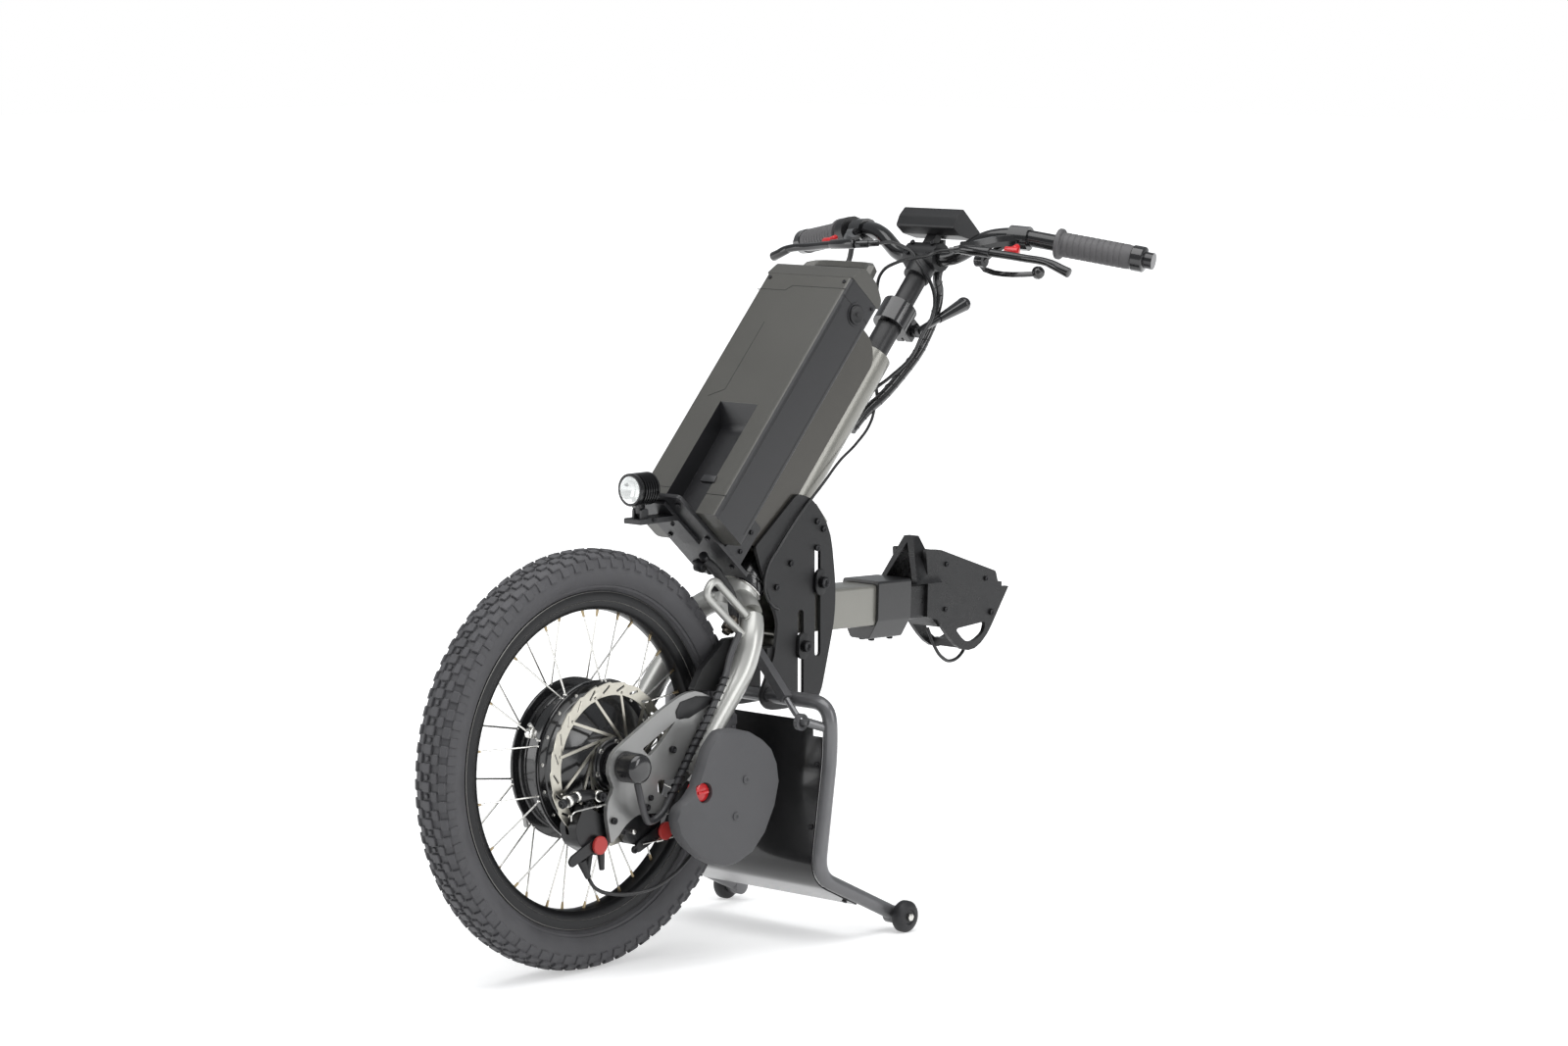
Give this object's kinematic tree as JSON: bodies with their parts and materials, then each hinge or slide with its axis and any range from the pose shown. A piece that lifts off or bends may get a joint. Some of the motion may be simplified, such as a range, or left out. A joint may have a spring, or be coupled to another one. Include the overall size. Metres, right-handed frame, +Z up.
{
  "type": "powered handcycle",
  "caption": "Clip-on powered handcycle: knobbly front wheel with hub motor in a steered fork, leaning battery column, handlebar, docking arm and roller stand.",
  "frame": {"origin": "centre of the bounding box at ground level", "axes": "+Z up, -Y the direction of travel, +X the rider's left"},
  "size_m": [0.6242, 1.041, 0.9112],
  "materials": {
    "tyre": "knobbly dark rubber",
    "rubber": "soft black rubber",
    "satin_black": "satin",
    "gloss_black": "gloss",
    "silver": "metallic satin",
    "steel": "brushed",
    "axle_steel": "brushed",
    "dark_grey": "fine textured",
    "weight": "fine textured",
    "case": "satin moulded",
    "plastic": "gloss moulded",
    "red": "gloss",
    "lens": "clear over a white reflector",
    "cable": "matte sheath"
  },
  "bodies": {
    "frame": {"column_tube": "silver", "headset_lower": "satin_black", "battery_cradle": "satin_black", "battery_tray": "satin_black", "slotted_plate_left": "satin_black", "slotted_plate_right": "satin_black", "light_bracket": "satin_black"},
    "battery": {"battery_case": "case", "battery_cap": "case"},
    "charge_flap": {"charge_flap": "rubber"},
    "headlight": {"headlight": "satin_black", "headlight_lens": "lens"},
    "fork": {"fork_frame": "silver", "steerer_tube": "gloss_black", "dropout_left": "silver", "dropout_right": "silver", "motor_axle": "axle_steel", "axle_cap_left": "plastic", "axle_cap_right": "plastic", "cable_junction": "plastic", "caliper_front": "satin_black", "caliper_rear": "satin_black", "ballast_left": "weight", "ballast_right": "weight", "stem_clamp": "gloss_black", "motor_cable": "cable", "cable_bundle": "cable"},
    "wheel": {"tyre": "tyre", "rim": "satin_black", "hub_shell": "gloss_black", "hub_cover": "gloss_black", "brake_rotor": "steel"},
    "caliper_arm_front": {"caliper_arm_front": "dark_grey"},
    "caliper_arm_rear": {"caliper_arm_rear": "dark_grey"},
    "ballast_knob_left": {"ballast_knob_left": "red"},
    "ballast_knob_right": {"ballast_knob_right": "red"},
    "clamp_lever": {"clamp_lever": "gloss_black"},
    "bars": {"stem_head": "gloss_black", "handlebar": "gloss_black", "grip_left": "rubber", "grip_right": "rubber", "lever_perch_left": "gloss_black", "lever_perch_right": "gloss_black", "display": "plastic"},
    "brake_lever_left": {"brake_lever_left": "gloss_black"},
    "brake_lever_right": {"brake_lever_right": "gloss_black"},
    "throttle": {"throttle": "plastic"},
    "park_lever": {"park_lever": "gloss_black"},
    "arm": {"arm_tube": "silver", "arm_collar": "satin_black"},
    "head": {"docking_head": "satin_black"},
    "latch": {"docking_latch": "steel"},
    "stand": {"stand_frame": "dark_grey", "stand_panel": "gloss_black"},
    "roller_left": {"stand_roller_left": "rubber"},
    "roller_right": {"stand_roller_right": "rubber"},
    "strut_sleeve": {"strut_sleeve": "satin_black"},
    "strut_rod": {"strut_rod": "dark_grey"}
  },
  "joints": [
    {"name": "steering", "type": "hinge", "parent": "frame", "child": "fork", "pos_m": [0, 0.02424, 0.44303], "axis": [0, 0.6691, 0.7431], "range_deg": [-30, 30]},
    {"name": "wheel_spin", "type": "hinge", "parent": "fork", "child": "wheel", "pos_m": [0, -0.26072, 0.26], "axis": [1, 0, 0], "continuous": true},
    {"name": "battery_lift", "type": "slide", "parent": "frame", "child": "battery", "axis": [0, 0.6691, 0.7431], "range_m": [0, 0.06]},
    {"name": "charge_flap_hinge", "type": "hinge", "parent": "battery", "child": "charge_flap", "pos_m": [0.0784, 0.1524, 0.77816], "axis": [0, 0.7431, -0.6691], "range_deg": [0, 120]},
    {"name": "headlight_tilt", "type": "hinge", "parent": "frame", "child": "headlight", "pos_m": [0, -0.15576, 0.55803], "axis": [1, 0, 0], "range_deg": [-12, 12]},
    {"name": "stem_height", "type": "slide", "parent": "fork", "child": "bars", "axis": [0, 0.6691, 0.7431], "range_m": [-0.04, 0.04]},
    {"name": "clamp_lever_hinge", "type": "hinge", "parent": "fork", "child": "clamp_lever", "pos_m": [0, 0.34437, 0.75225], "axis": [1, 0, 0], "range_deg": [-90, 0]},
    {"name": "ballast_knob_left_turn", "type": "hinge", "parent": "fork", "child": "ballast_knob_left", "pos_m": [0.1, -0.17272, 0.222], "axis": [1, 0, 0], "range_deg": [0, 180]},
    {"name": "ballast_knob_right_turn", "type": "hinge", "parent": "fork", "child": "ballast_knob_right", "pos_m": [-0.1, -0.17272, 0.222], "axis": [1, 0, 0], "range_deg": [0, 180]},
    {"name": "brake_lever_left_pull", "type": "hinge", "parent": "bars", "child": "brake_lever_left", "pos_m": [0.104, 0.34566, 0.86277], "axis": [0, -0.0877, 0.9961], "range_deg": [0, 16]},
    {"name": "brake_lever_right_pull", "type": "hinge", "parent": "bars", "child": "brake_lever_right", "pos_m": [-0.104, 0.34566, 0.86277], "axis": [0, 0.0877, -0.9961], "range_deg": [0, 16]},
    {"name": "caliper_arm_front_swing", "type": "hinge", "parent": "fork", "child": "caliper_arm_front", "pos_m": [0.066, -0.30073, 0.168], "axis": [-1, 0, 0], "range_deg": [0, 20]},
    {"name": "caliper_arm_rear_swing", "type": "hinge", "parent": "fork", "child": "caliper_arm_rear", "pos_m": [0.066, -0.18673, 0.17], "axis": [-1, 0, 0], "range_deg": [0, 20]},
    {"name": "throttle_twist", "type": "hinge", "parent": "bars", "child": "throttle", "pos_m": [-0.169, 0.42209, 0.87336], "axis": [-0.9277, 0.3402, -0.1537], "range_deg": [0, 60]},
    {"name": "park_lever_swing", "type": "hinge", "parent": "bars", "child": "park_lever", "pos_m": [0.1, 0.37197, 0.84716], "axis": [-1, 0, 0], "range_deg": [0, 40]},
    {"name": "arm_height", "type": "slide", "parent": "frame", "child": "arm", "axis": [0, 0, 1], "range_m": [-0.05, 0.01]},
    {"name": "head_reach", "type": "slide", "parent": "arm", "child": "head", "axis": [0, 0.9994, -0.0349], "range_m": [-0.004, 0.05]},
    {"name": "latch_hinge", "type": "hinge", "parent": "head", "child": "latch", "pos_m": [0, 0.47733, 0.37247], "axis": [1, 0, 0], "range_deg": [0, 30]},
    {"name": "stand_fold", "type": "hinge", "parent": "frame", "child": "stand", "pos_m": [0, 0.04124, 0.30803], "axis": [1, 0, 0], "range_deg": [0, 12]},
    {"name": "roller_left_spin", "type": "hinge", "parent": "stand", "child": "roller_left", "pos_m": [0.157, 0.16424, 0.0205], "axis": [1, 0, 0], "continuous": true},
    {"name": "roller_right_spin", "type": "hinge", "parent": "stand", "child": "roller_right", "pos_m": [-0.157, 0.16424, 0.0205], "axis": [1, 0, 0], "continuous": true},
    {"name": "strut_swing", "type": "hinge", "parent": "frame", "child": "strut_sleeve", "pos_m": [0.02, 0.03424, 0.36303], "axis": [0.6078, 0.525, 0.5958], "range_deg": [0, 3.61]},
    {"name": "strut_slide", "type": "slide", "parent": "strut_sleeve", "child": "strut_rod", "axis": [0.7544, -0.1476, -0.6396], "range_m": [0, 0.0029]}
  ],
  "couplings": [
    {"joint": "strut_swing", "follows": "stand_fold", "ratio": 0.25919},
    {"joint": "strut_slide", "follows": "stand_fold", "m_per_rad": 0.011458},
    {"joint": "caliper_arm_front_swing", "follows": "brake_lever_left_pull", "ratio": 1.1},
    {"joint": "caliper_arm_rear_swing", "follows": "brake_lever_right_pull", "ratio": 1.1}
  ]
}
